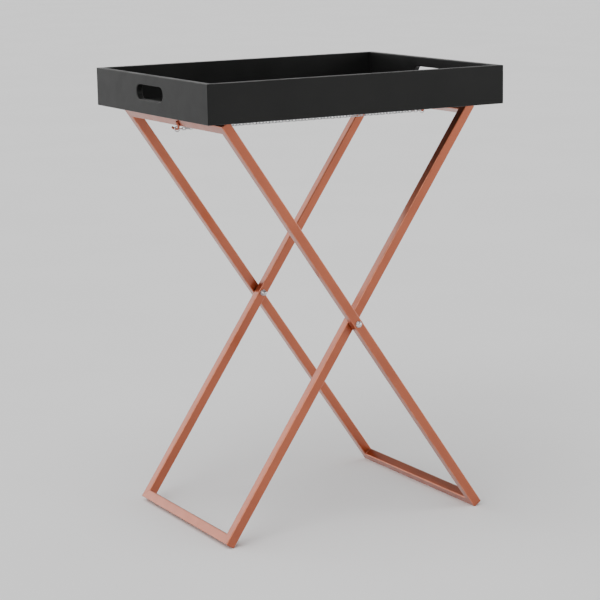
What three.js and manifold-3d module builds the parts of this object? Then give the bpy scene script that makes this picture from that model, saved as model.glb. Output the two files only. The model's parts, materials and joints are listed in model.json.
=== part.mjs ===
// Folding tray table: a loose painted tray on a crossed square-tube stand, held open by a chain.
// Millimetres, +Z up. The origin is on the floor under the middle of the tray.
// +X runs along the tray's length and +Y along its depth, towards the back.

import * as THREE from 'three';
import { mergeVertices } from 'three/addons/utils/BufferGeometryUtils.js';
import Module from 'manifold-3d';

const wasm = await Module();
wasm.setup();

// ---- Driving dimensions ----------------------------------------------------------------

// Tray
const TRAY_LENGTH = 500;
const TRAY_DEPTH = 380;
const WALL_HEIGHT = 58;
const WALL_THICKNESS = 10;
const BASE_THICKNESS = 6;
const BASE_EDGE_THICKNESS = 5; // the base's edges are cut down to fit under the walls
const WALL_SKIN = 4; // how much of each wall comes down past the base's edge
const SLOT_LENGTH = 90;
const SLOT_HEIGHT = 22;
const SLOT_CENTRE_HEIGHT = 32; // above the underside of the tray

// Stand
const TUBE = 15;
const TUBE_WALL = 1.2;
const TUBE_CORNER_RADIUS = 1.6;
const HALF_LEG = 383.5; // from the pivot to either end of a leg
const LEAN = THREE.MathUtils.degToRad(34.4); // each frame from the vertical
const OUTER_WIDTH = 335;
const LEG_GAP = 3.1; // between an outer leg and the inner leg beside it
const STAND_X = 14; // the tray lies a little off the middle of its stand
const STAND_Y = 17;

// Pivot hardware, all round an M5 bolt
const BOLT_RADIUS = 2.5;
const BOLT_HOLE_RADIUS = 2.88;
const WASHER_RADIUS = 5;
const WASHER_THICKNESS = 1;
const SPACER_THICKNESS = 2.8;
const HEAD_RADIUS = 4.6;
const HEAD_HEIGHT = 3.2;
const NUT_ACROSS_FLATS = 8;
const NUT_HEX_HEIGHT = 4;
const NUT_DOME_HEIGHT = 3.2;
const NUT_BORE_DEPTH = 5;

// Screws that hold the base up to the walls
const SCREW_HEAD_RADIUS = 2.2;
const SCREW_SHANK_RADIUS = 1.1;
const SCREW_HEAD_HEIGHT = 1.4;
const SCREW_LENGTH = 18;

// Stay chain and what it hangs on. A hook point is the middle of the hook's lowest wire, measured
// from the middle of its rail: ALONG is up the leg, ACROSS is towards the inside of the cross.
const HOOK_POINT_ALONG = -9.5;
const HOOK_POINT_ACROSS = -12.1;
const CHAIN_Y = -10; // the chain lies this far in front of the middle of the stand
const HOOK_WIRE_RADIUS = 1.75;
const RING_RADIUS = 3.5;
const RING_WIRE_RADIUS = 0.7;
const CHAIN_BAR = 3; // the chain's links lie inside a plain bar this thick
const CHAIN_SAG = 1.5;

const GAP = 0.3; // between neighbours that touch
const RUNNING_GAP = 0.15; // between flat faces that turn on each other
const HOLE_SIDES = 16;

// ---- Worked-out places ------------------------------------------------------------------

const RAIL_RADIUS = HALF_LEG - TUBE / 2; // from the pivot to the middle of a rail
const RAIL_REACH = TUBE_CORNER_RADIUS // from the middle of a leaning rail to its highest point
  + (TUBE / 2 - TUBE_CORNER_RADIUS) * (Math.cos(LEAN) + Math.sin(LEAN));
const PIVOT_HEIGHT = RAIL_RADIUS * Math.cos(LEAN) + RAIL_REACH;
const TRAY_UNDERSIDE = 2 * PIVOT_HEIGHT + GAP;
const INNER_WIDTH = OUTER_WIDTH - 2 * (TUBE + LEG_GAP);

// ---- Materials --------------------------------------------------------------------------

const blackPaint = new THREE.MeshStandardMaterial({ color: 0x2c2c2b, roughness: 0.55, metalness: 0 });
const copperPaint = new THREE.MeshStandardMaterial({ color: 0xb27054, roughness: 0.35, metalness: 0.8 });
const zincSteel = new THREE.MeshStandardMaterial({ color: 0xb9bcc0, roughness: 0.3, metalness: 1 });
const nylon = new THREE.MeshStandardMaterial({ color: 0x1d1d1e, roughness: 0.6, metalness: 0 });

// ---- Solid helpers ----------------------------------------------------------------------

// A closed geometry as a manifold solid.
function toSolid(geometry) {
  const bare = geometry.clone();
  bare.deleteAttribute('normal');
  bare.deleteAttribute('uv');
  const merged = mergeVertices(bare, 1e-4);
  return new wasm.Manifold(new wasm.Mesh({
    numProp: 3,
    vertProperties: new Float32Array(merged.attributes.position.array),
    triVerts: new Uint32Array(merged.index.array),
  }));
}

// A manifold solid as a geometry.
function toGeometry(solid) {
  const mesh = solid.getMesh();
  const geometry = new THREE.BufferGeometry();
  geometry.setAttribute('position', new THREE.BufferAttribute(new Float32Array(mesh.vertProperties), 3));
  geometry.setIndex(new THREE.BufferAttribute(new Uint32Array(mesh.triVerts), 1));
  geometry.computeVertexNormals();
  return geometry;
}

// Two overlapping geometries as one.
function join(first, second) {
  return toGeometry(toSolid(first).add(toSolid(second)));
}

// One geometry with several others cut out of it.
function cut(geometry, tools) {
  let solid = toSolid(geometry);
  for (const tool of tools) solid = solid.subtract(toSolid(tool));
  return toGeometry(solid);
}

// A lathe profile of [radius, height] pairs, turned about the Y axis.
function turned(profile, sides = HOLE_SIDES) {
  return new THREE.LatheGeometry(profile.map(([r, h]) => new THREE.Vector2(r, h)), sides);
}

// A plain cylinder about the Y axis, from one height to another.
function rod(radius, from, to) {
  return turned([[0, from], [radius, from], [radius, to], [0, to]]);
}

// A wire of round section along a smooth curve.
function wire(points, radius, steps) {
  const section = new THREE.Shape().absarc(0, 0, radius, 0, 2 * Math.PI);
  return new THREE.ExtrudeGeometry(section, {
    curveSegments: 4,
    steps,
    extrudePath: new THREE.CatmullRomCurve3(points),
  });
}

// A bar of constant section along Z whose two ends are cut by mitres.
// endAt(x, y) gives the half-length at a point of the section.
function mitredBar(outline, hole, endAt) {
  const shape = new THREE.Shape(outline);
  if (hole) shape.holes.push(new THREE.Path(hole));
  const geometry = new THREE.ExtrudeGeometry(shape, { depth: 2, steps: 1, bevelEnabled: false });
  geometry.translate(0, 0, -1);
  const position = geometry.attributes.position;
  for (let i = 0; i < position.count; i += 1) {
    position.setZ(i, position.getZ(i) * endAt(position.getX(i), position.getY(i)));
  }
  return geometry;
}

// The outline of a square with rounded corners.
function roundedSquare(side, radius, cornerSteps) {
  const points = [];
  for (let corner = 0; corner < 4; corner += 1) {
    const middle = Math.PI / 4 + (corner * Math.PI) / 2;
    const centre = (side / 2 - radius) * Math.SQRT2;
    for (let step = 0; step <= cornerSteps; step += 1) {
      const angle = (corner + step / cornerSteps) * (Math.PI / 2);
      points.push(new THREE.Vector2(
        centre * Math.cos(middle) + radius * Math.cos(angle),
        centre * Math.sin(middle) + radius * Math.sin(angle),
      ));
    }
  }
  return points;
}

function named(name, geometry, material) {
  const mesh = new THREE.Mesh(geometry, material);
  mesh.name = name;
  return mesh;
}

// ---- Tray -------------------------------------------------------------------------------

// Section of a wall: x from its outer face inwards, y up from the tray's underside,
// with the rebate for the base along its lower inner edge.
function wallOutline() {
  const rebateTop = BASE_EDGE_THICKNESS + GAP;
  return [
    new THREE.Vector2(0, 0),
    new THREE.Vector2(WALL_SKIN, 0),
    new THREE.Vector2(WALL_SKIN, rebateTop),
    new THREE.Vector2(WALL_THICKNESS, rebateTop),
    new THREE.Vector2(WALL_THICKNESS, WALL_HEIGHT),
    new THREE.Vector2(0, WALL_HEIGHT),
  ];
}

// A mitred wall lying along X with its outer face towards -Y.
function wallBar(length) {
  const mitreGap = GAP / Math.SQRT2;
  const bar = mitredBar(wallOutline(), null, (depth) => length / 2 - depth - mitreGap);
  const axes = new THREE.Matrix4().makeBasis(
    new THREE.Vector3(0, 1, 0), new THREE.Vector3(0, 0, 1), new THREE.Vector3(1, 0, 0),
  );
  return bar.applyMatrix4(axes);
}

// The round-ended hand slot, as a tool that passes through a short wall lying along X.
function slotTool() {
  const reach = SLOT_LENGTH / 2 - SLOT_HEIGHT / 2;
  const radius = SLOT_HEIGHT / 2;
  const shape = new THREE.Shape();
  shape.absarc(reach, 0, radius, -Math.PI / 2, Math.PI / 2, false);
  shape.absarc(-reach, 0, radius, Math.PI / 2, -Math.PI / 2, false);
  const depth = WALL_THICKNESS + 4;
  const tool = new THREE.ExtrudeGeometry(shape, { depth, curveSegments: 8, bevelEnabled: false });
  tool.rotateX(Math.PI / 2);
  return tool.translate(0, WALL_THICKNESS + 2, SLOT_CENTRE_HEIGHT);
}

// The base: a thin edge let in under the walls, and a field that fills the space between them.
function baseBoard() {
  const slab = (inset, height) => {
    const board = new THREE.BoxGeometry(TRAY_LENGTH - 2 * inset, TRAY_DEPTH - 2 * inset, height);
    return board.translate(0, 0, height / 2);
  };
  return join(slab(WALL_SKIN + GAP, BASE_EDGE_THICKNESS), slab(WALL_THICKNESS + GAP, BASE_THICKNESS));
}

// Where the base screws stand: three along each long wall and one in each short wall.
function screwPlaces() {
  const inset = (WALL_SKIN + WALL_THICKNESS) / 2;
  const places = [];
  for (const side of [-1, 1]) {
    for (const x of [-170, 0, 170]) {
      places.push({ wall: side < 0 ? 'front' : 'back', x, y: side * (TRAY_DEPTH / 2 - inset) });
    }
    places.push({ wall: side < 0 ? 'left' : 'right', x: side * (TRAY_LENGTH / 2 - inset), y: 0 });
  }
  return places;
}

// A countersunk screw pointing up, its head flush with the base's underside.
function screwShape(clearance) {
  const head = SCREW_HEAD_RADIUS + clearance;
  const shank = SCREW_SHANK_RADIUS + clearance;
  return turned([
    [0, clearance ? -1 : 0], [head, clearance ? -1 : 0], [head, 0.3],
    [shank, SCREW_HEAD_HEIGHT + 0.3 + clearance], [shank, SCREW_LENGTH - 3 + clearance],
    [0, SCREW_LENGTH + clearance],
  ], 12).rotateX(Math.PI / 2);
}

function trayPieces() {
  const tray = new THREE.Group();
  tray.position.z = TRAY_UNDERSIDE;
  const places = screwPlaces();
  const holeAt = ({ x, y }) => screwShape(GAP).translate(x, y, 0);

  const walls = [
    { name: 'front', length: TRAY_LENGTH, turn: 0, out: TRAY_DEPTH / 2, slot: false },
    { name: 'back', length: TRAY_LENGTH, turn: Math.PI, out: TRAY_DEPTH / 2, slot: false },
    { name: 'left', length: TRAY_DEPTH, turn: -Math.PI / 2, out: TRAY_LENGTH / 2, slot: true },
    { name: 'right', length: TRAY_DEPTH, turn: Math.PI / 2, out: TRAY_LENGTH / 2, slot: true },
  ];
  for (const { name, length, turn, out, slot } of walls) {
    const bar = slot ? cut(wallBar(length), [slotTool()]) : wallBar(length);
    bar.translate(0, -out, 0).rotateZ(turn);
    const holes = places.filter((place) => place.wall === name).map(holeAt);
    tray.add(named(`tray_${name}_wall`, cut(bar, holes), blackPaint));
  }

  tray.add(named('tray_base_panel', cut(baseBoard(), places.map(holeAt)), blackPaint));

  places.forEach(({ x, y }, index) => {
    const screw = named(`base_screw_${index + 1}`, screwShape(0), zincSteel);
    screw.position.set(x, y, 0);
    tray.add(screw);
  });
  return tray;
}

// ---- Stand frames -----------------------------------------------------------------------

// Each frame is drawn upright round the pivot: X across the leg, Y along the pivot axis,
// Z up the leg. Its four tubes meet in mitres.
const MITRE_GAP = GAP / Math.SQRT2;

function tube(endAt) {
  const outer = roundedSquare(TUBE, TUBE_CORNER_RADIUS, 3);
  const inner = roundedSquare(TUBE - 2 * TUBE_WALL, TUBE_CORNER_RADIUS - TUBE_WALL, 1);
  return mitredBar(outer, inner, endAt);
}

// side is -1 for the front leg and +1 for the back leg.
function leg(width, side) {
  const bar = tube((x, y) => HALF_LEG - TUBE / 2 + side * y - MITRE_GAP);
  bar.translate(0, side * (width / 2 - TUBE / 2), 0);
  return cut(bar, [rod(BOLT_HOLE_RADIUS, -width, width)]);
}

// end is +1 for the top rail and -1 for the foot rail.
function rail(width, end) {
  const bar = tube((x, y) => width / 2 - TUBE / 2 + end * y - MITRE_GAP);
  const axes = new THREE.Matrix4().makeBasis(
    new THREE.Vector3(-1, 0, 0), new THREE.Vector3(0, 0, 1), new THREE.Vector3(0, 1, 0),
  );
  return bar.applyMatrix4(axes).translate(0, 0, end * RAIL_RADIUS);
}

// The open wire hook on the outer face of a top rail. It comes down the rail's face, turns
// outwards and along the rail, and ends in a raised tip. The route is measured from the hook
// point as [outwards, along the rail, up the leg]. inward is the X direction that points
// towards the inside of the cross.
function chainHook(inward) {
  const face = HOOK_POINT_ACROSS + TUBE / 2 + GAP + HOOK_WIRE_RADIUS;
  const route = [
    [face, -9, 13.5], [face, -7.6, 8.5], [face + 0.2, -6, 4], [-0.9, -3, 0.8],
    [0, 0, 0], [0.9, 3, 0.8], [2, 5.2, 3], [2.8, 5.8, 6],
  ];
  const points = route.map(([out, y, up]) => new THREE.Vector3(
    inward * (HOOK_POINT_ACROSS - out), CHAIN_Y + y, RAIL_RADIUS + HOOK_POINT_ALONG + up,
  ));
  return wire(points, HOOK_WIRE_RADIUS, 18);
}

function frame(prefix, width, lean, hookName) {
  const group = new THREE.Group();
  group.position.set(STAND_X, STAND_Y, PIVOT_HEIGHT);
  group.rotation.y = lean;
  group.add(named(`${prefix}_front_leg`, leg(width, -1), copperPaint));
  group.add(named(`${prefix}_back_leg`, leg(width, 1), copperPaint));
  group.add(named(`${prefix}_top_rail`, rail(width, 1), copperPaint));
  group.add(named(`${prefix}_foot_rail`, rail(width, -1), copperPaint));
  group.add(named(hookName, chainHook(lean < 0 ? 1 : -1), copperPaint));
  return group;
}

// ---- Pivots -----------------------------------------------------------------------------

// A round washer about the Y axis, from one height to another.
function washer(outerRadius, from, to) {
  return turned([
    [BOLT_HOLE_RADIUS, from], [outerRadius, from], [outerRadius, to], [BOLT_HOLE_RADIUS, to],
    [BOLT_HOLE_RADIUS, from],
  ]);
}

// Domed head and shank. Y = 0 is the seat of the head, and the shank runs to -Y.
function pivotBolt(shankLength) {
  const dome = [0, 1, 2, 3, 4].map((step) => {
    const angle = (step / 4) * (Math.PI / 2);
    return [HEAD_RADIUS * Math.cos(angle), 0.6 + (HEAD_HEIGHT - 0.6) * Math.sin(angle)];
  });
  dome[4][0] = 0;
  return turned([
    [0, -shankLength], [BOLT_RADIUS, -shankLength], [BOLT_RADIUS, 0], [HEAD_RADIUS, 0], ...dome,
  ]);
}

// Cap nut with a blind bore. Y = 0 is its seat, and its dome points to -Y.
function capNut() {
  const hexRadius = NUT_ACROSS_FLATS / 2 / Math.cos(Math.PI / 6);
  const hex = turned([
    [0, -NUT_HEX_HEIGHT], [hexRadius, -NUT_HEX_HEIGHT], [hexRadius, 0], [0, 0],
  ], 6);
  const domeRadius = NUT_ACROSS_FLATS / 2 - 0.2;
  const profile = [[0, -NUT_HEX_HEIGHT - NUT_DOME_HEIGHT]];
  for (let step = 1; step <= 4; step += 1) {
    const angle = (step / 4) * (Math.PI / 2);
    profile.push([domeRadius * Math.sin(angle), -NUT_HEX_HEIGHT - NUT_DOME_HEIGHT * Math.cos(angle)]);
  }
  profile.push([domeRadius, -1], [0, -1]);
  return cut(join(hex, turned(profile)), [rod(BOLT_HOLE_RADIUS, -NUT_BORE_DEPTH, 1)]);
}

// One pivot, stacked from the bolt head outside to the cap nut inside.
function pivotPieces(prefix, side) {
  const headWasherSeat = OUTER_WIDTH / 2 + RUNNING_GAP;
  const boltSeat = headWasherSeat + WASHER_THICKNESS + RUNNING_GAP;
  const spacerSeat = OUTER_WIDTH / 2 - TUBE - LEG_GAP + (LEG_GAP - SPACER_THICKNESS) / 2;
  const innerFace = INNER_WIDTH / 2 - TUBE;
  const innerWasherSeat = innerFace - RUNNING_GAP - WASHER_THICKNESS;
  const nutSeat = innerWasherSeat - RUNNING_GAP;
  const shankLength = boltSeat - nutSeat + NUT_BORE_DEPTH - 1;

  const group = new THREE.Group();
  group.position.set(STAND_X, STAND_Y, PIVOT_HEIGHT);
  if (side < 0) group.rotation.z = Math.PI;
  const pieces = [
    ['pivot_bolt', pivotBolt(shankLength).translate(0, boltSeat, 0), zincSteel],
    ['head_washer', washer(WASHER_RADIUS, headWasherSeat, headWasherSeat + WASHER_THICKNESS), zincSteel],
    ['spacer_washer', washer(WASHER_RADIUS, spacerSeat, spacerSeat + SPACER_THICKNESS), nylon],
    ['inner_washer', washer(WASHER_RADIUS, innerWasherSeat, innerWasherSeat + WASHER_THICKNESS), zincSteel],
    ['cap_nut', capNut().translate(0, nutSeat, 0), zincSteel],
  ];
  for (const [name, geometry, material] of pieces) {
    group.add(named(`${prefix}_${name}`, geometry, material));
  }
  return group;
}

// ---- Stay chain -------------------------------------------------------------------------

// The hook point of one side, from the pivot. side is -1 for the left rail, +1 for the right.
function hookPoint(side) {
  const along = RAIL_RADIUS + HOOK_POINT_ALONG;
  const x = along * Math.sin(LEAN) - HOOK_POINT_ACROSS * Math.cos(LEAN);
  const z = along * Math.cos(LEAN) + HOOK_POINT_ACROSS * Math.sin(LEAN);
  return new THREE.Vector3(STAND_X + side * x, STAND_Y + CHAIN_Y, PIVOT_HEIGHT + z);
}

function chainPieces() {
  const group = new THREE.Group();
  for (const side of [-1, 1]) {
    const name = side < 0 ? 'left' : 'right';
    const hook = hookPoint(side);

    // The ring stands on edge round the hook's wire, its middle a little towards the chain.
    const slack = RING_RADIUS - RING_WIRE_RADIUS - HOOK_WIRE_RADIUS - GAP;
    const ring = new THREE.TorusGeometry(RING_RADIUS, RING_WIRE_RADIUS, 8, 16).rotateX(Math.PI / 2);
    const ringMesh = named(`chain_ring_${name}`, ring, zincSteel);
    ringMesh.position.copy(hook).add(new THREE.Vector3(-side * slack, 0, 0));
    group.add(ringMesh);

    // Half of the chain, from the ring's far edge down to the middle of the span.
    const middle = new THREE.Vector3(STAND_X, hook.y, hook.z - CHAIN_SAG);
    const run = new THREE.Vector3().subVectors(middle, hook);
    const start = slack + RING_RADIUS + RING_WIRE_RADIUS + GAP;
    const length = run.length() - start - GAP;
    const bar = new THREE.BoxGeometry(length, CHAIN_BAR, CHAIN_BAR);
    bar.translate(start + length / 2, 0, 0);
    const half = named(`chain_${name}_half`, bar, zincSteel);
    half.position.copy(hook);
    half.quaternion.setFromUnitVectors(new THREE.Vector3(1, 0, 0), run.normalize());
    group.add(half);
  }
  return group;
}

// ---- The whole table --------------------------------------------------------------------

const table = new THREE.Group();
table.add(trayPieces());
table.add(frame('outer', OUTER_WIDTH, -LEAN, 'left_chain_hook'));
table.add(frame('inner', INNER_WIDTH, LEAN, 'right_chain_hook'));
table.add(pivotPieces('front', -1));
table.add(pivotPieces('back', 1));
table.add(chainPieces());

export default table;
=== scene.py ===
import json
import math

import bmesh
import bpy
from mathutils import Matrix, Vector


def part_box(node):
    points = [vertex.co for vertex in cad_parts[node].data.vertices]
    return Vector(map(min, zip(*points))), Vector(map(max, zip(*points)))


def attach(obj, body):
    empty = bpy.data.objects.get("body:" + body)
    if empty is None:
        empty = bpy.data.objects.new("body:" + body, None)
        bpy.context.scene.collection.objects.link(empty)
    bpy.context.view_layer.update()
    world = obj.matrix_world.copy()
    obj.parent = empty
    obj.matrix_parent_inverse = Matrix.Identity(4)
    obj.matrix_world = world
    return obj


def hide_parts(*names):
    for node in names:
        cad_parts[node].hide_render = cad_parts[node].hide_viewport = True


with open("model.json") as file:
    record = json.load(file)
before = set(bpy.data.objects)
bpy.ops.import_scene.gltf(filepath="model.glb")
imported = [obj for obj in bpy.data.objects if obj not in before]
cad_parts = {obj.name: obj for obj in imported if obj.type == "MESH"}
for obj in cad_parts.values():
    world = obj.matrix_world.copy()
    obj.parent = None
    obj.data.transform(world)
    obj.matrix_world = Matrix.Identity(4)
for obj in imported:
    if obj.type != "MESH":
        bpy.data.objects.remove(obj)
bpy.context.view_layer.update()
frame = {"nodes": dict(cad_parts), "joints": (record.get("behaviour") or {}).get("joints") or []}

MM = 0.001
scene = bpy.context.scene
joints = {joint["name"]: joint for joint in frame["joints"]}


# ---- Sizes read from the frame -------------------------------------------------------

pivot = Vector(joints["stand_fold"]["pos_m"])
front_leg_low, front_leg_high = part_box("outer_front_leg")
TUBE = front_leg_high.y - front_leg_low.y
rail_low, rail_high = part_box("outer_top_rail")
rail_middle = (rail_low + rail_high) / 2
LEAN = math.atan2(pivot.x - rail_middle.x, rail_middle.z - pivot.z)
HALF_LEG = math.hypot(pivot.x - rail_middle.x, rail_middle.z - pivot.z) + TUBE / 2

tray_low, front_wall_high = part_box("tray_front_wall")
WALL_HEIGHT = front_wall_high.z - tray_low.z
WALL_THICKNESS = front_wall_high.y - tray_low.y
TRAY_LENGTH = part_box("tray_right_wall")[1].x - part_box("tray_left_wall")[0].x
TRAY_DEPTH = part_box("tray_back_wall")[1].y - tray_low.y
TRAY_UNDERSIDE = tray_low.z
STAND_Y = (front_leg_low.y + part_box("outer_back_leg")[1].y) / 2

# ---- Sizes of the finish -------------------------------------------------------------

TUBE_CORNER = 1.6 * MM
SEAM = 0.04 * MM  # half of the hairline left between mitred neighbours
WALL_EDGE = 1.0 * MM  # rounding of the tray's outer edges
WALL_SKIN = 4.0 * MM  # the part of a wall that comes down past the base's edge
REBATE_HEIGHT = 5.3 * MM
BASE_EDGE = 5.0 * MM
SCREW_HEAD = 2.2 * MM
SCREW_SHANK = 1.1 * MM
SCREW_LENGTH = 18 * MM
SCREW_EASE = 0.15 * MM
SCREW_CLEARANCE = 0.15 * MM
RECESS_ARM = 1.3 * MM  # the cross in a screw's head
RECESS_WIDTH = 0.55 * MM
RECESS_DEPTH = 1.2 * MM
SEAT_GAP = 0.05 * MM  # keeps a seated head off the face that it lies on
BASE_EASE = 0.4 * MM  # chamfer of the base panel's edges
BOLT = 2.5 * MM
BOLT_HOLE = 2.88 * MM
BOLT_HEAD = 4.6 * MM
WASHER = 5.0 * MM
STEEL_EASE = 0.2 * MM  # chamfer of a stamped steel washer
NYLON_EASE = 0.4 * MM
NUT_FLATS = 8.0 * MM
NUT_HEX_HEIGHT = 4.0 * MM
SLOT_LENGTH = 90 * MM
SLOT_HEIGHT = 22 * MM
SLOT_CENTRE = 32 * MM
SLOT_EDGE = 1.2 * MM
WELD_BEAD = 0.42 * MM
WELD_SUNK = 0.3 * MM  # how far the bead's middle lies under the tube's face
WELD_FILLET = 1.1 * MM
HOOK_WIRE = 1.75 * MM
HOOK_BEAD = 1.55 * MM
HOOK_BEAD_OUT = 0.35 * MM  # how far the bead's middle lies off the rail's face
RING_RADIUS = 3.9 * MM
RING_SHIFT = 0.3 * MM  # from the hook's wire towards the chain
RING_WIRE = 0.7 * MM
LINK_WIRE = 0.65 * MM
LINK_WIDTH = 5.3 * MM
LINK_PLAY = 0.02 * MM
RING_PLAY = 0.37 * MM  # lets the first link swing inside its ring
LINKS_PER_HALF = 37
LINK_ROLL = 45  # degrees: the links lie at plus and minus this about the chain's line
LINKS_TO_FULL_ROLL = 5  # the first link lies flat in its ring, and the rest turn away from it
LINK_UNEVENNESS = 5  # degrees
CHAIN_SAG = 0.3 * MM  # the open stand pulls the chain almost straight


# ---- Camera --------------------------------------------------------------------------

CAMERA_PLACE = (-1.4903, -2.6567, 0.9392)
CAMERA_TURN = (29.258, 11.233, -1.006)  # degrees: to the right, down, and about the view line
LENS = 119.16


def make_camera():
    """A long lens in front of the table, a little to its left and above the tray."""
    yaw, pitch, roll = (math.radians(angle) for angle in CAMERA_TURN)
    forward = Vector((
        math.sin(yaw) * math.cos(pitch), math.cos(yaw) * math.cos(pitch), -math.sin(pitch),
    ))
    level_right = Vector((math.cos(yaw), -math.sin(yaw), 0))
    level_up = level_right.cross(forward)
    right = level_right * math.cos(roll) + level_up * math.sin(roll)
    up = level_up * math.cos(roll) - level_right * math.sin(roll)
    data = bpy.data.cameras.new("camera")
    data.lens = LENS
    data.sensor_width = 36
    camera = bpy.data.objects.new("camera", data)
    scene.collection.objects.link(camera)
    axes = Matrix((right, up, -forward)).transposed().to_4x4()
    camera.matrix_world = Matrix.Translation(CAMERA_PLACE) @ axes
    scene.camera = camera


# ---- Materials -----------------------------------------------------------------------

def set_range(node, start, end, low, high):
    """Sets a Map Range node to spread start to end over low to high."""
    for key, number in (("From Min", start), ("From Max", end), ("To Min", low), ("To Max", high)):
        node.inputs[key].default_value = number


class Nodes:
    """A new node material, with short calls for the nodes that it needs."""

    def __init__(self, name):
        self.material = bpy.data.materials.new(name)
        self.material.use_nodes = True
        self.tree = self.material.node_tree
        self.shader = self.tree.nodes["Principled BSDF"]
        self.place = self.add("ShaderNodeTexCoord").outputs["Object"]

    def add(self, kind, **settings):
        node = self.tree.nodes.new(kind)
        for key, value in settings.items():
            setattr(node, key, value)
        return node

    def link(self, source, target):
        self.tree.links.new(source, target)

    def noise(self, scale, detail):
        node = self.add("ShaderNodeTexNoise")
        node.inputs["Scale"].default_value = scale
        node.inputs["Detail"].default_value = detail
        node.inputs["Roughness"].default_value = 0.5
        self.link(self.place, node.inputs["Vector"])
        return node.outputs["Fac"]

    def span(self, value, low, high, start=0.35, end=0.65):
        """value from start to end, spread from low to high."""
        node = self.add("ShaderNodeMapRange")
        set_range(node, start, end, low, high)
        self.link(value, node.inputs["Value"])
        return node.outputs["Result"]

    def mix(self, factor, first, second):
        """Two colours mixed by a factor. Each is a tuple or another node's output."""
        node = self.add("ShaderNodeMix", data_type="RGBA")
        self.link(factor, node.inputs["Factor"])
        for key, colour in (("A", first), ("B", second)):
            socket = [s for s in node.inputs if s.name == key and s.type == "RGBA"][0]
            if isinstance(colour, tuple):
                socket.default_value = (*colour, 1)
            else:
                self.link(colour, socket)
        return [s for s in node.outputs if s.type == "RGBA"][0]

    def bump(self, height, distance, strength, below=None):
        node = self.add("ShaderNodeBump")
        node.inputs["Distance"].default_value = distance
        node.inputs["Strength"].default_value = strength
        self.link(height, node.inputs["Height"])
        if below:
            self.link(below, node.inputs["Normal"])
        return node.outputs["Normal"]

    def finish(self, colour, roughness, normal, **constants):
        self.link(colour, self.shader.inputs["Base Color"])
        self.link(roughness, self.shader.inputs["Roughness"])
        self.link(normal, self.shader.inputs["Normal"])
        for key, value in constants.items():
            self.shader.inputs[key.replace("_", " ")].default_value = value
        return self.material

    def paint_edge_highlight(self, colour, scale, low, high, pale):
        """colour, made paler in patches along the piece's rounded edges: a painted edge highlight.
        """
        edge = self.add("ShaderNodeAttribute", attribute_name="edge").outputs["Fac"]
        # mask of the painted highlight: the edge weight times patchy noise
        highlight_mask = self.add("ShaderNodeMath", operation="MULTIPLY")
        self.link(edge, highlight_mask.inputs[0])
        self.link(self.span(self.noise(scale, detail=4), low, high), highlight_mask.inputs[1])
        return self.mix(highlight_mask.outputs["Value"], colour, pale)


def black_paint():
    """Satin black paint rolled over fibreboard, with a painted highlight: paler in patches along
    the edges.
    """
    n = Nodes("black_paint")
    cloudy = n.span(n.noise(9, detail=3), 0, 1)
    colour = n.mix(cloudy, (0.0102, 0.0105, 0.0103), (0.0124, 0.0126, 0.0122))
    # painted highlight: light grey in patches along the rounded edges
    colour = n.paint_edge_highlight(colour, 60, 0.2, 0.8, (0.075, 0.075, 0.073))
    roughness = n.span(n.noise(35, detail=4), 0.30, 0.38)
    peel = n.bump(n.noise(420, detail=2), 0.00012, 0.5)
    grit = n.bump(n.noise(2600, detail=2), 0.00003, 0.5, below=peel)
    return n.finish(colour, roughness, grit, Specular_IOR_Level=0.14)


def copper_paint():
    """Semi-gloss copper-coloured metallic coating under clear lacquer on steel tube."""
    n = Nodes("copper_paint")
    cloudy = n.span(n.noise(14, detail=3), 0, 1)
    colour = n.mix(cloudy, (0.345, 0.079, 0.031), (0.400, 0.095, 0.038))
    flake = n.span(n.noise(3500, detail=1), 0, 0.35, 0.45, 0.75)
    colour = n.mix(flake, colour, (0.54, 0.158, 0.078))
    # painted highlight: paler copper in patches along the rounded edges
    colour = n.paint_edge_highlight(colour, 90, 0.25, 0.9, (0.66, 0.21, 0.105))
    roughness = n.span(n.noise(45, detail=4), 0.34, 0.44)
    peel = n.bump(n.noise(500, detail=2), 0.0001, 0.5)
    return n.finish(colour, roughness, peel, Metallic=0.9,
                    Coat_Weight=0.8, Coat_Roughness=0.15, Coat_IOR=1.5)


def weld_paint():
    """The same coating where it lies over a weld: darker and rippled."""
    n = Nodes("weld_paint")
    cloudy = n.span(n.noise(180, detail=3), 0, 1)
    colour = n.mix(cloudy, (0.32, 0.072, 0.028), (0.44, 0.102, 0.040))
    roughness = n.span(n.noise(200, detail=3), 0.38, 0.5)
    ripple = n.bump(n.noise(900, detail=3), 0.0002, 0.7)
    return n.finish(colour, roughness, ripple, Metallic=0.9,
                    Coat_Weight=1.0, Coat_Roughness=0.2, Coat_IOR=1.5)


def zinc():
    """Bright zinc plate, a little cloudy."""
    n = Nodes("zinc_plate")
    colour = n.mix(n.span(n.noise(240, detail=4), 0, 1), (0.50, 0.51, 0.53), (0.70, 0.71, 0.73))
    roughness = n.span(n.noise(500, detail=3), 0.18, 0.34)
    grain = n.bump(n.noise(3000, detail=2), 0.00002, 0.6)
    return n.finish(colour, roughness, grain, Metallic=1.0)


def black_nylon():
    """Moulded black nylon."""
    n = Nodes("black_nylon")
    cloudy = n.span(n.noise(300, detail=3), 0, 1)
    colour = n.mix(cloudy, (0.010, 0.010, 0.011), (0.018, 0.018, 0.019))
    roughness = n.span(n.noise(800, detail=3), 0.45, 0.6)
    grain = n.bump(n.noise(2500, detail=3), 0.00004, 0.6)
    return n.finish(colour, roughness, grain)


def floor_paper():
    """Plain pale studio paper."""
    n = Nodes("studio_paper")
    colour = n.mix(n.span(n.noise(2, detail=2), 0, 1), (0.87, 0.87, 0.87), (0.89, 0.89, 0.89))
    roughness = n.span(n.noise(5, detail=2), 0.85, 0.95)
    fibre = n.bump(n.noise(900, detail=2), 0.00005, 0.3)
    return n.finish(colour, roughness, fibre, Specular_IOR_Level=0.1)


BLACK = black_paint()
COPPER = copper_paint()
WELD = weld_paint()
ZINC = zinc()
NYLON = black_nylon()


# ---- Mesh helpers --------------------------------------------------------------------

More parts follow.
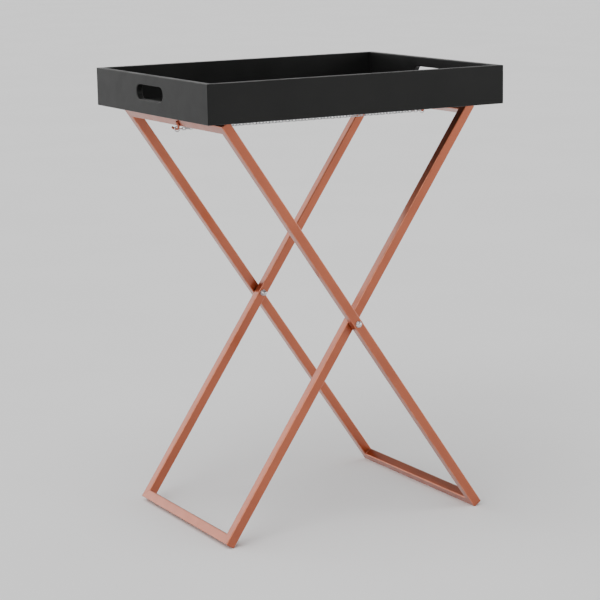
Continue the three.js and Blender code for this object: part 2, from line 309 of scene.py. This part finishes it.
def make_piece(name, mesh_data, material, body, nodes=(), sharp=35):
    """A finished piece from a bmesh: shaded, painted, riding on its body."""
    mesh = bpy.data.meshes.new(name)
    bmesh.ops.recalc_face_normals(mesh_data, faces=mesh_data.faces)
    mesh_data.to_mesh(mesh)
    mesh_data.free()
    mesh.polygons.foreach_set("use_smooth", [True] * len(mesh.polygons))
    mesh.set_sharp_from_angle(angle=math.radians(sharp))
    mesh.materials.append(material)
    piece = bpy.data.objects.new(name, mesh)
    scene.collection.objects.link(piece)
    weighted = piece.modifiers.new("weighted_normals", "WEIGHTED_NORMAL")
    weighted.keep_sharp = True
    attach(piece, body)
    if nodes:
        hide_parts(*nodes)


def merge(bm, part):
    """Adds part to bm, and frees part."""
    mesh = bpy.data.meshes.new("part")
    part.to_mesh(mesh)
    part.free()
    bm.from_mesh(mesh)


def arc_points(centre, radius, start, end, steps):
    """Points of an arc, both ends included. Angles in degrees."""
    points = []
    for step in range(steps + 1):
        angle = math.radians(start + (end - start) * step / steps)
        points.append((centre[0] + radius * math.cos(angle), centre[1] + radius * math.sin(angle)))
    return points


def rounded_square(side, radius, steps):
    """Outline of a square with rounded corners, and how far each point is into a corner."""
    inner = side / 2 - radius
    corners = ((inner, inner), (-inner, inner), (-inner, -inner), (inner, -inner))
    outline, edges = [], []
    for corner, (x, y) in enumerate(corners):
        outline += arc_points((x, y), radius, corner * 90, corner * 90 + 90, steps)
        edges += [math.sin(math.pi * step / steps) for step in range(steps + 1)]
    return outline, edges


def loft(rings, edges=None, closed=False, caps=True):
    """A bmesh through rings of points. closed joins the last ring to the first."""
    bm = bmesh.new()
    layer = bm.verts.layers.float.new("edge")
    rows = []
    for ring in rings:
        row = [bm.verts.new(point) for point in ring]
        for index, vert in enumerate(row):
            vert[layer] = edges[index] if edges else 0.0
        rows.append(row)
    pairs = list(zip(rows, rows[1:])) + ([(rows[-1], rows[0])] if closed else [])
    for low, high in pairs:
        for i in range(len(low)):
            j = (i + 1) % len(low)
            bm.faces.new((low[i], low[j], high[j], high[i]))
    if caps and not closed:
        bm.faces.new(reversed(rows[0]))
        bm.faces.new(rows[-1])
    return bm


def turned(profile, sides=48):
    """A bmesh turned about Z from (radius, height) pairs. A radius of 0 closes an end."""
    bm = bmesh.new()
    bm.verts.layers.float.new("edge")
    rows = []
    for radius, height in profile:
        if radius == 0:
            rows.append([bm.verts.new((0, 0, height))])
            continue
        row = []
        for side in range(sides):
            angle = 2 * math.pi * side / sides
            row.append(bm.verts.new((radius * math.cos(angle), radius * math.sin(angle), height)))
        rows.append(row)
    closed = profile[0][0] > 0 and profile[-1][0] > 0
    for low, high in list(zip(rows, rows[1:])) + ([(rows[-1], rows[0])] if closed else []):
        for i in range(sides):
            j = (i + 1) % sides
            corners = [low[i % len(low)], low[j % len(low)],
                       high[j % len(high)], high[i % len(high)]]
            bm.faces.new(list(dict.fromkeys(corners)))
    return bm


def wire(points, radii, sides=16, closed=False):
    """A bmesh of round wire along points. radii is one number or one for each point."""
    count = len(points)
    if not isinstance(radii, (list, tuple)):
        radii = [radii] * count
    tangents = []
    for i in range(count):
        before = points[i - 1] if closed or i else points[0]
        after = points[(i + 1) % count] if closed or i + 1 < count else points[-1]
        tangents.append((after - before).normalized())
    side = tangents[0].orthogonal().normalized()
    rings = []
    for point, tangent, radius in zip(points, tangents, radii):
        side = (side - tangent * side.dot(tangent)).normalized()
        other = tangent.cross(side)
        ring = []
        for k in range(sides):
            angle = 2 * math.pi * k / sides
            ring.append(point + (side * math.cos(angle) + other * math.sin(angle)) * radius)
        rings.append(ring)
    return loft(rings, closed=closed)


def smooth_route(controls, steps):
    """A Catmull-Rom curve through controls, with steps points to each span."""
    route = []
    for i in range(len(controls) - 1):
        p0, p1 = controls[max(i - 1, 0)], controls[i]
        p2, p3 = controls[i + 1], controls[min(i + 2, len(controls) - 1)]
        for step in range(steps):
            t = step / steps
            route.append(0.5 * (2 * p1 + (p2 - p0) * t + (2 * p0 - 5 * p1 + 4 * p2 - p3) * t * t
                                + (3 * p1 - p0 - 3 * p2 + p3) * t ** 3))
    return route + [controls[-1]]


def cut_away(bm, cutter):
    """bm with the cutter's shape taken out of it, by an exact boolean."""
    objects = []
    for name, part in (("work", bm), ("cutter", cutter)):
        mesh = bpy.data.meshes.new(name)
        bmesh.ops.recalc_face_normals(part, faces=part.faces)
        part.to_mesh(mesh)
        part.free()
        objects.append(bpy.data.objects.new(name, mesh))
        scene.collection.objects.link(objects[-1])
    work, tool = objects
    boolean = work.modifiers.new("cut", "BOOLEAN")
    boolean.operation = "DIFFERENCE"
    boolean.solver = "EXACT"
    boolean.object = tool
    graph = bpy.context.evaluated_depsgraph_get()
    result = bmesh.new()
    result.from_mesh(bpy.data.meshes.new_from_object(work.evaluated_get(graph)))
    for leftover in objects:
        bpy.data.objects.remove(leftover)
    return result


# ---- Tray ----------------------------------------------------------------------------

def wall_section():
    """Section of a wall as (distance in from the outer face, height) and edge weights."""
    r, t, h = WALL_EDGE, WALL_THICKNESS, WALL_HEIGHT
    steps = 5
    outline, edges = [], []
    bend = [math.sin(math.pi * step / steps) for step in range(steps + 1)]
    outline += arc_points((r, r), r, 180, 270, steps)
    edges += bend
    outline += [(WALL_SKIN, 0), (WALL_SKIN, REBATE_HEIGHT), (t, REBATE_HEIGHT)]
    edges += [0, 0, 0]
    outline += arc_points((t - r, h - r), r, 0, 90, steps)
    edges += bend
    outline += arc_points((r, h - r), r, 90, 180, steps)
    edges += bend
    return outline, edges


def mitred_bar(outline, edges, length, radius, steps=4):
    """A bar along X with mitred ends, whose two outer corners are rounded to radius.

    Its section is (depth in from the outer face, height).
    """
    rings = []
    for end in (-1, 1):
        stations = []
        for step in range(steps + 1):
            turn = math.radians(45 * step / steps)
            inset = radius * (1 - math.cos(turn))
            along = length / 2 - radius + radius * math.sin(turn)
            points = [(min(along, length / 2 - max(depth, inset) - SEAM), max(depth, inset), height)
                      for depth, height in outline]
            stations.append([Vector((end * x, y, z)) for x, y, z in points])
        stations.append([Vector((end * (length / 2 - p.y - SEAM), p.y, p.z)) for p in stations[-1]])
        rings += stations if end > 0 else reversed(stations)
    return loft(rings, edges)


def stadium(depth_from, depth_to, steps=16):
    """The hand slot's shape through a wall, as a bmesh."""
    radius = SLOT_HEIGHT / 2
    reach = SLOT_LENGTH / 2 - radius
    outline = arc_points((reach, SLOT_CENTRE), radius, -90, 90, steps)
    outline += arc_points((-reach, SLOT_CENTRE), radius, 90, 270, steps)
    return loft([[Vector((x, y, z)) for x, z in outline] for y in (depth_from, depth_to)])


def slot_distance(point):
    """How far a point is outside the hand slot's outline, seen along the wall's depth."""
    radius = SLOT_HEIGHT / 2
    reach = SLOT_LENGTH / 2 - radius
    x = max(abs(point.x) - reach, 0)
    return math.hypot(x, point.z - SLOT_CENTRE) - radius


def ease_slot(bm):
    """Rounds both rims of the hand slot."""
    layer = bm.verts.layers.float.get("edge") or bm.verts.layers.float.new("edge")
    near, nearer, margin = 0.01 * MM, 0.001 * MM, 0.1 * MM
    rims = []
    for edge in bm.edges:
        on_slot = all(abs(slot_distance(v.co)) < near for v in edge.verts)
        same_face = abs(edge.verts[0].co.y - edge.verts[1].co.y) < nearer
        if on_slot and same_face:
            rims.append(edge)
    made = bmesh.ops.bevel(bm, geom=rims, offset=SLOT_EDGE, segments=4, profile=0.5, affect="EDGES")
    for vert in made["verts"]:
        near_face = min(abs(vert.co.y), abs(vert.co.y - WALL_THICKNESS))
        vert[layer] = 1.0 if margin < near_face < SLOT_EDGE - margin else 0.0
    return bm


def make_walls():
    walls = (
        ("front", TRAY_LENGTH, 0, TRAY_DEPTH / 2, False),
        ("right", TRAY_DEPTH, 90, TRAY_LENGTH / 2, True),
        ("back", TRAY_LENGTH, 180, TRAY_DEPTH / 2, False),
        ("left", TRAY_DEPTH, 270, TRAY_LENGTH / 2, True),
    )
    for name, length, turn, out, slotted in walls:
        bm = mitred_bar(*wall_section(), length, WALL_EDGE)
        if slotted:
            past = WALL_THICKNESS / 2
            bm = ease_slot(cut_away(bm, stadium(-past, WALL_THICKNESS + past)))
        turned_out = Matrix.Rotation(math.radians(turn), 4, "Z") @ Matrix.Translation((0, -out, 0))
        bm.transform(Matrix.Translation((0, 0, TRAY_UNDERSIDE)) @ turned_out)
        node = f"tray_{name}_wall"
        make_piece(f"{name}_wall", bm, BLACK, "tray", [node])


def screw_profile(grow):
    """A countersunk screw pointing up, as (radius, height) pairs, grown by a clearance."""
    below = -1 * MM if grow else 0
    return [
        (0, below), (SCREW_HEAD - SCREW_EASE + grow, below), (SCREW_HEAD + grow, 0.2 * MM),
        (SCREW_SHANK + grow, 1.6 * MM), (SCREW_SHANK + grow, 15 * MM), (0, SCREW_LENGTH + grow),
    ]


def recess():
    """The tapered cross of a screwdriver recess, as a bmesh that starts below z = 0."""
    rings = []
    for height, share in ((-0.5 * MM, 1.15), (RECESS_DEPTH, 0.45)):
        a, w = RECESS_ARM * share, RECESS_WIDTH / 2
        corners = [(a, -w), (a, w), (w, w), (w, a), (-w, a), (-w, w), (-a, w), (-a, -w),
                   (-w, -w), (-w, -a), (w, -a), (w, -w)]
        rings.append([Vector((x, y, height)) for x, y in corners])
    return loft(rings)


def make_screws():
    """The base's screws. Returns where they stand."""
    places = []
    index = 1
    while f"base_screw_{index}" in frame["nodes"]:
        node = f"base_screw_{index}"
        low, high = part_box(node)
        place = Vector(((low.x + high.x) / 2, (low.y + high.y) / 2, low.z + SEAT_GAP))
        bm = cut_away(turned(screw_profile(0), 32), recess())
        bm.transform(Matrix.Translation(place) @ Matrix.Rotation(index * 1.1, 4, "Z"))
        make_piece(f"screw_{index}", bm, ZINC, "tray", [node], sharp=30)
        places.append(place)
        index += 1
    return places


def make_base(screw_places):
    """The base panel: a field between the walls and a thinner edge under them."""
    low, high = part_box("tray_base_panel")
    shoulder = WALL_THICKNESS - WALL_SKIN
    edge_top = low.z + BASE_EDGE
    ease = BASE_EASE
    section = [
        (ease, low.z), (0, low.z + ease), (0, edge_top - ease), (ease, edge_top),
        (shoulder, edge_top), (shoulder, high.z - ease), (shoulder + ease, high.z),
    ]
    rings = []
    for inset, z in section:
        x0, y0, x1, y1 = low.x + inset, low.y + inset, high.x - inset, high.y - inset
        rings.append([Vector((x, y, z)) for x, y in ((x0, y0), (x1, y0), (x1, y1), (x0, y1))])
    holes = bmesh.new()
    for place in screw_places:
        hole = turned(screw_profile(SCREW_CLEARANCE), 32)
        hole.transform(Matrix.Translation(place))
        merge(holes, hole)
    bm = cut_away(loft(rings), holes)
    make_piece("base_panel", bm, BLACK, "tray", ["tray_base_panel"])


# ---- Stand frames --------------------------------------------------------------------

def basis(x, y, z):
    """A rotation whose columns are these directions."""
    return Matrix((x, y, z)).transposed().to_4x4()


def frame_place(lean):
    """Where a frame's own axes lie: at the pivot, leant about it."""
    return Matrix.Translation((pivot.x, STAND_Y, pivot.z)) @ Matrix.Rotation(lean, 4, "Y")


def tube_section():
    """Section of a tube as (depth in from the frame's outer face, across) and edge weights."""
    outline, edges = rounded_square(TUBE, TUBE_CORNER, 6)
    return [(TUBE / 2 + x, y) for x, y in outline], edges


def frame_tubes(width):
    """The four tubes of a frame: name, length and placing in the frame's own axes.

    Those axes are X across the leg, Y along the pivot and Z up the leg.
    """
    across, out, up = Vector((1, 0, 0)), Vector((0, 1, 0)), Vector((0, 0, 1))
    half, tall = width / 2, 2 * HALF_LEG
    return (
        ("front_leg", tall, Matrix.Translation(-half * out) @ basis(up, out, across)),
        ("back_leg", tall, Matrix.Translation(half * out) @ basis(up, -out, across)),
        ("top_rail", width, Matrix.Translation(HALF_LEG * up) @ basis(out, -up, across)),
        ("foot_rail", width, Matrix.Translation(-HALF_LEG * up) @ basis(out, up, across)),
    )


def bolt_hole(width):
    return wire([Vector((0, -width, 0)), Vector((0, width, 0))], BOLT_HOLE, sides=32)


def mitre_weld(length, end):
    """The ground-down bead round one mitre of a bar, and the fillet in its inner corner."""
    section, _ = tube_section()
    middle = TUBE / 2
    sunk = 1 - WELD_SUNK / middle
    ring = []
    for depth, height in section:
        depth = middle + (depth - middle) * sunk
        ring.append(Vector((end * (length / 2 - depth), depth, height * sunk)))
    bead = wire(ring, WELD_BEAD, sides=8, closed=True)
    proud = 0.1 * MM  # the fillet's middle stands off the inner corner
    inner = length / 2 - TUBE - proud
    steps = 14
    points, radii = [], []
    for step in range(steps + 1):
        share = 2 * step / steps - 1
        across = share * (middle - TUBE_CORNER * 0.6)
        points.append(Vector((end * inner, TUBE + proud, across)))
        ripple = 0.12 * MM * math.sin(step * 2.4)
        radii.append((WELD_FILLET + ripple) * math.sqrt(max(0.04, 1 - share ** 6)))
    merge(bead, wire(points, radii, sides=12))
    return bead


def make_frame(prefix, body, lean):
    front_low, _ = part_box(f"{prefix}_front_leg")
    _, back_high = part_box(f"{prefix}_back_leg")
    width = back_high.y - front_low.y
    place = frame_place(lean)
    for name, length, placing in frame_tubes(width):
        bm = mitred_bar(*tube_section(), length, TUBE_CORNER)
        bm.transform(placing)
        if name.endswith("leg"):
            bm = cut_away(bm, bolt_hole(width))
        bm.transform(place)
        node = f"{prefix}_{name}"
        make_piece(f"{node}_tube", bm, COPPER, body, [node])
        if name.endswith("rail"):
            for end in (-1, 1):
                weld = mitre_weld(length, end)
                weld.transform(place @ placing)
                corner = "front" if end < 0 else "back"
                make_piece(f"{node}_{corner}_weld", weld, WELD, body, sharp=60)


# ---- Pivots --------------------------------------------------------------------------

def y_span(node):
    """How far a node reaches along the pivot, from the middle of the stand: (inner, outer)."""
    low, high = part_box(node)
    ends = sorted((abs(low.y - STAND_Y), abs(high.y - STAND_Y)))
    return ends[0], ends[1]


def ring_profile(bore, radius, low, high, ease):
    """A washer's section with eased edges, as a closed (radius, height) profile."""
    return [
        (bore, low + ease), (bore + ease, low), (radius - ease, low), (radius, low + ease),
        (radius, high - ease), (radius - ease, high), (bore + ease, high), (bore, high - ease),
    ]


def dome_profile(radius, base, height, steps=10):
    """An elliptical dome from its rim up to its crown."""
    points = []
    for step in range(steps):
        turn = math.pi / 2 * step / steps
        points.append((radius * math.cos(turn), base + height * math.sin(turn)))
    return points + [(0, base + height)]


def cap_nut(seat, length):
    """A hexagon with chamfered corners under a dome. It sits at height seat and points down."""
    flat = NUT_FLATS / 2
    corner = flat / math.cos(math.pi / 6)
    top = NUT_HEX_HEIGHT
    bevel, neck, dome = 0.55 * MM, 0.15 * MM, 0.4 * MM
    rows = [
        (flat * 0.97, 0), (corner, bevel), (corner, top - bevel), (flat * 0.99, top),
        (flat * 0.93, top + neck),
    ]
    rows += dome_profile(flat * 0.93, top + dome, length - top - dome)
    sides = 72
    rings = []
    for limit, height in rows[:-1]:
        ring = []
        for side in range(sides):
            angle = 2 * math.pi * side / sides
            hexagon = flat / math.cos(angle % (math.pi / 3) - math.pi / 6)
            radius = min(limit, hexagon)
            ring.append(Vector((radius * math.cos(angle), radius * math.sin(angle), seat - height)))
        rings.append(ring)
    bm = loft(rings, caps=False)
    crown = bm.verts.new((0, 0, seat - length))
    bm.verts.ensure_lookup_table()
    last = [bm.verts[(len(rings) - 1) * sides + side] for side in range(sides)]
    first = [bm.verts[side] for side in range(sides)]
    for side in range(sides):
        bm.faces.new((last[side], last[(side + 1) % sides], crown))
    bm.faces.new(reversed(first))
    return bm


def make_pivot(name, side):
    """Bolt, washers, spacer and cap nut of one leg crossing. side is -1 in front, 1 behind."""
    turn = Matrix.Rotation(math.radians(-90 * side), 4, "X")
    place = Matrix.Translation((pivot.x, STAND_Y, pivot.z)) @ turn

    def add(part, bm, material):
        bm.transform(place)
        node = f"{name}_{part}"
        make_piece(f"{node}_detail", bm, material, "outer_frame", [node], sharp=40)

    for part, material, slot, ease in (
        ("head_washer", ZINC, "zinc_steel", STEEL_EASE),
        ("spacer_washer", NYLON, "spacer_nylon", NYLON_EASE),
        ("inner_washer", ZINC, "zinc_steel", STEEL_EASE),
    ):
        low, high = y_span(f"{name}_{part}")
        add(part, turned(ring_profile(BOLT_HOLE, WASHER, low, high, ease)), material)

    shank_end, crown = y_span(f"{name}_pivot_bolt")
    seat = y_span(f"{name}_head_washer")[1] + SEAT_GAP
    tip, rim, dome = 0.4 * MM, 0.25 * MM, 0.6 * MM
    profile = [
        (0, shank_end), (BOLT - tip, shank_end), (BOLT, shank_end + tip), (BOLT, seat),
        (BOLT_HEAD - rim, seat), (BOLT_HEAD, seat + rim),
    ]
    profile += dome_profile(BOLT_HEAD, seat + dome, crown - seat - dome)
    add("pivot_bolt", turned(profile, 64), ZINC)

    low, high = y_span(f"{name}_cap_nut")
    bottom, mouth = high - 5 * MM, high + MM
    bore = turned([(0, bottom), (BOLT_HOLE, bottom), (BOLT_HOLE, mouth), (0, mouth)], 32)
    add("cap_nut", cut_away(cap_nut(high, high - low), bore), ZINC)


# ---- Stay chain ----------------------------------------------------------------------

def hook_wire(controls):
    """The bent wire along its control points, with both ends rounded over."""
    points = smooth_route(controls, 8)
    radii = [HOOK_WIRE] * len(points)
    for step, share in enumerate((0.55, 0.83, 0.96)):
        radii[step] = HOOK_WIRE * share
        radii[-1 - step] = HOOK_WIRE * share
    return wire(points, radii, sides=20)


def hook_bead(low, high, x, steps=16):
    """The weld along the hook's upright, from near low to near high, at x on the rail's face."""
    points, radii = [], []
    for step in range(steps + 1):
        share = step / steps
        point = low.lerp(high, 0.05 + 0.9 * share)
        points.append(Vector((x, point.y, point.z)))
        swell = math.sin(math.pi * min(max(share, 0.03), 0.97)) ** 0.4
        radii.append((HOOK_BEAD + 0.12 * MM * math.sin(step * 2.1)) * swell)
    return wire(points, radii, sides=14)


def make_hook(prefix, node, body, lean, hook_point):
    """The wire hook on a top rail and the weld that holds it. lean is the frame's own."""
    inward = 1 if lean < 0 else -1
    place = frame_place(lean)
    at_hook = place.inverted() @ hook_point
    face = TUBE / 2 + HOOK_WIRE - abs(at_hook.x)  # the wire touches the rail here
    route = (  # outward, along the rail and up, in mm from the point where the ring hangs
        (face / MM, -9, 13.5), (face / MM, -7.6, 8.5), (face / MM + 0.2, -6, 4), (-0.9, -3, 0.8),
        (0, 0, 0), (0.9, 3, 0.8), (2, 5.2, 3), (2.8, 5.8, 6),
    )
    controls = [at_hook + Vector((-inward * out, y, up)) * MM for out, y, up in route]
    hook = hook_wire(controls)
    hook.transform(place)
    make_piece(f"{prefix}_hook_wire", hook, COPPER, body, [node], sharp=60)
    bead = hook_bead(controls[1], controls[0], inward * -(TUBE / 2 + HOOK_BEAD_OUT))
    bead.transform(place)
    make_piece(f"{prefix}_hook_weld", bead, WELD, body, sharp=60)


def link_shape(half_length, half_width):
    """One oval link along X in the XY plane."""
    straight = half_length - half_width
    outline = arc_points((straight, 0), half_width, -90, 90, 9)
    outline += arc_points((-straight, 0), half_width, 90, 270, 9)
    return wire([Vector((x, y, 0)) for x, y in outline], LINK_WIRE, sides=8, closed=True)


def make_ring(name, node, body, hook_point, towards):
    """A split ring on edge round the hook's wire. towards is the X direction of the chain."""
    middle = hook_point + Vector((towards * RING_SHIFT, 0, 0))
    steps = 40
    points = []
    for step in range(steps + 1):
        angle = math.radians(94 + 352 * step / steps)  # the split is at the top
        points.append(middle + Vector((math.cos(angle), 0, math.sin(angle))) * RING_RADIUS)
    make_piece(name, wire(points, RING_WIRE, sides=12), ZINC, body, [node])


def make_half_chain(name, node, body, hook_point, towards, links):
    """Links from a ring to the middle of the span, hanging in a very shallow curve."""
    ring_far = hook_point.x + towards * (RING_SHIFT + RING_RADIUS)
    first = ring_far - towards * (RING_WIRE + LINK_WIRE + RING_PLAY)
    span = abs(pivot.x - first)
    pitch = (span - LINK_WIRE) / (LINKS_PER_HALF + 0.5)
    reach = abs(pivot.x - hook_point.x)
    half_length = pitch / 2 + LINK_WIRE + LINK_PLAY
    half_width = LINK_WIDTH / 2 - LINK_WIRE
    bm = bmesh.new()
    for index in range(links):
        x = first + towards * (half_length + index * pitch)
        share = abs(x - hook_point.x) / reach
        z = hook_point.z - CHAIN_SAG * (1 - (1 - share) ** 2)
        slope = -towards * 2 * CHAIN_SAG * (1 - share) / reach
        roll = LINK_ROLL * min(index / LINKS_TO_FULL_ROLL, 1) - 90 * (index % 2)
        roll += LINK_UNEVENNESS * math.sin(index * 2.7)
        tilt = Matrix.Rotation(-math.atan(slope), 4, "Y")
        turn = Matrix.Rotation(math.radians(roll), 4, "X")
        link = link_shape(half_length, half_width)
        link.transform(Matrix.Translation((x, hook_point.y, z)) @ tilt @ turn)
        merge(bm, link)
    make_piece(name, bm, ZINC, body, [node], sharp=80)


def make_chain():
    left = Vector(joints["chain_left_swing"]["pos_m"])
    right = Vector(joints["chain_right_swing"]["pos_m"])
    make_hook("left", "left_chain_hook", "outer_frame", -LEAN, left)
    make_hook("right", "right_chain_hook", "inner_frame", LEAN, right)
    make_ring("left_ring", "chain_ring_left", "chain_ring", left, 1)
    make_ring("right_ring", "chain_ring_right", "chain_right", right, -1)
    make_half_chain("left_links", "chain_left_half", "chain_left", left, 1, LINKS_PER_HALF + 1)
    make_half_chain("right_links", "chain_right_half", "chain_right", right, -1, LINKS_PER_HALF)


# ---- Floor and light -----------------------------------------------------------------

HORIZON = 0.88  # brightness of the surround, up to HORIZON_TOP
OVERHEAD = 0.30  # its brightness from OVERHEAD_START upwards
HORIZON_TOP = 0.1  # both as the Z of a direction of length 1
OVERHEAD_START = 0.5
SOFT_BOXES = (  # direction, how much brighter, and the angles of its edge and of its full part
    ((-0.62, 0.72, 0.32), 2.0, 34, 12),
    ((0.79, -0.60, 0.10), 3.0, 27, 8),
    ((-0.64, -0.50, 0.57), 2.4, 24, 10),
)
FLOOR_REACH = 40
SUN_TOWARDS = (0.35, 0.2, -1.0)
SUN_SPREAD = 60  # degrees
SUN_STRENGTH = 1.9


def make_floor():
    """A level floor that reaches far past the picture."""
    bm = bmesh.new()
    bmesh.ops.create_grid(bm, x_segments=8, y_segments=8, size=FLOOR_REACH)
    mesh = bpy.data.meshes.new("floor")
    bm.to_mesh(mesh)
    bm.free()
    mesh.materials.append(floor_paper())
    floor = bpy.data.objects.new("floor", mesh)
    scene.collection.objects.link(floor)


def make_sun():
    """One broad light over the whole floor, so soft that its shadows hardly show."""
    data = bpy.data.lights.new("overhead_light", "SUN")
    data.angle = math.radians(SUN_SPREAD)
    data.energy = SUN_STRENGTH
    light = bpy.data.objects.new("overhead_light", data)
    light.rotation_euler = Vector(SUN_TOWARDS).to_track_quat("-Z", "Y").to_euler()
    scene.collection.objects.link(light)


def make_surround():
    """A white surround: pale at the horizon, dimmer overhead, with three broad soft boxes."""
    world = bpy.data.worlds.new("studio")
    world.use_nodes = True
    nodes, links = world.node_tree.nodes, world.node_tree.links
    direction = nodes.new("ShaderNodeTexCoord").outputs["Generated"]

    def spread(source, start, end, low, high):
        node = nodes.new("ShaderNodeMapRange")
        node.interpolation_type = "SMOOTHSTEP"
        set_range(node, start, end, low, high)
        links.new(source, node.inputs["Value"])
        return node.outputs["Result"]

    split = nodes.new("ShaderNodeSeparateXYZ")
    links.new(direction, split.inputs["Vector"])
    total = spread(split.outputs["Z"], HORIZON_TOP, OVERHEAD_START, HORIZON, OVERHEAD)
    for middle, bright, edge, full in SOFT_BOXES:
        facing = nodes.new("ShaderNodeVectorMath")
        facing.operation = "DOT_PRODUCT"
        facing.inputs[1].default_value = Vector(middle).normalized()
        links.new(direction, facing.inputs[0])
        start, end = math.cos(math.radians(edge)), math.cos(math.radians(full))
        box = spread(facing.outputs["Value"], start, end, 0, bright)
        both = nodes.new("ShaderNodeMath")
        links.new(total, both.inputs[0])
        links.new(box, both.inputs[1])
        total = both.outputs["Value"]
    background = nodes["Background"]
    background.inputs["Color"].default_value = (1, 1, 1, 1)
    links.new(total, background.inputs["Strength"])
    scene.world = world


# ---- The whole scene -----------------------------------------------------------------

make_camera()
make_walls()
make_base(make_screws())
make_frame("outer", "outer_frame", -LEAN)
make_frame("inner", "inner_frame", LEAN)
make_pivot("front", -1)
make_pivot("back", 1)
make_chain()
make_floor()
make_surround()
make_sun()
